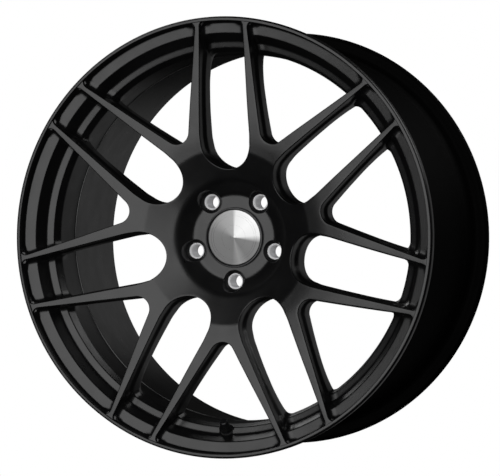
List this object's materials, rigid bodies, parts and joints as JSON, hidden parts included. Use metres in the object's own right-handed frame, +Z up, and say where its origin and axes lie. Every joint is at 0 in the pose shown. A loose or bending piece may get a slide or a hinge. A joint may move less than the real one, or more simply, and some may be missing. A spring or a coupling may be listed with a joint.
{
  "type": "racing wheel",
  "caption": "Forged monoblock racing wheel with seven twin-arm spokes, a deep dished hub, steel bolt seats, a spun centre cap and a short clamp-in valve.",
  "frame": {"origin": "on the wheel's axis, at the middle of the overall width over the two flanges", "axes": "+Y along the wheel's axis from the outboard face toward the car, +Z up with the valve at the bottom, +X to the right when seen from outboard"},
  "size_m": [0.4969, 0.2556, 0.497],
  "materials": {
    "satin_black_metal": "satin black powder coat on forged aluminium",
    "bare_steel": "machined and zinc plated",
    "black_plastic": "satin moulded",
    "spun_aluminium": "spun in fine circles, clear lacquer",
    "adhesive_foam": "double sided foam tape",
    "brass": "turned",
    "black_rubber": "moulded",
    "anodised_black": "black anodised"
  },
  "bodies": {
    "wheel": {"wheel_disc": "satin_black_metal", "outboard_flange": "satin_black_metal", "rim_barrel": "satin_black_metal", "inboard_flange": "satin_black_metal", "lug_seats": "bare_steel", "valve_stem": "brass", "valve_inner_seal": "black_rubber", "valve_grommet": "black_rubber", "valve_washer": "bare_steel", "valve_nut": "anodised_black", "core_body": "brass", "core_gasket": "black_rubber", "core_spring": "bare_steel"},
    "centre_cap": {"cap_body": "black_plastic", "cap_trim_ring": "black_plastic", "cap_disc": "spun_aluminium", "cap_adhesive": "adhesive_foam", "cap_spring_ring": "bare_steel"},
    "valve_pin": {"core_pin": "bare_steel", "core_seal": "black_rubber"},
    "cap_seal": {"valve_cap_gasket": "black_rubber"},
    "dust_cap": {"valve_cap": "anodised_black"}
  },
  "joints": [
    {"name": "centre_cap_pull", "type": "slide", "parent": "wheel", "child": "centre_cap", "axis": [0, -1, 0], "range_m": [0, 0.04]},
    {"name": "valve_pin_press", "type": "slide", "parent": "wheel", "child": "valve_pin", "axis": [0, 0.7071, -0.7071], "range_m": [0, 0.001], "stiffness_N_per_m": 400, "springref_m": -0.002},
    {"name": "dust_cap_lift", "type": "slide", "parent": "wheel", "child": "cap_seal", "axis": [0, -0.7071, 0.7071], "range_m": [0, 0.00476]},
    {"name": "dust_cap_turn", "type": "hinge", "parent": "cap_seal", "child": "dust_cap", "pos_m": [0, -0.0983, -0.2144], "axis": [0, -0.7071, 0.7071], "range_deg": [0, 2160]}
  ],
  "couplings": [
    {"joint": "dust_cap_turn", "follows": "dust_cap_lift", "rad_per_m": 7913.3}
  ]
}
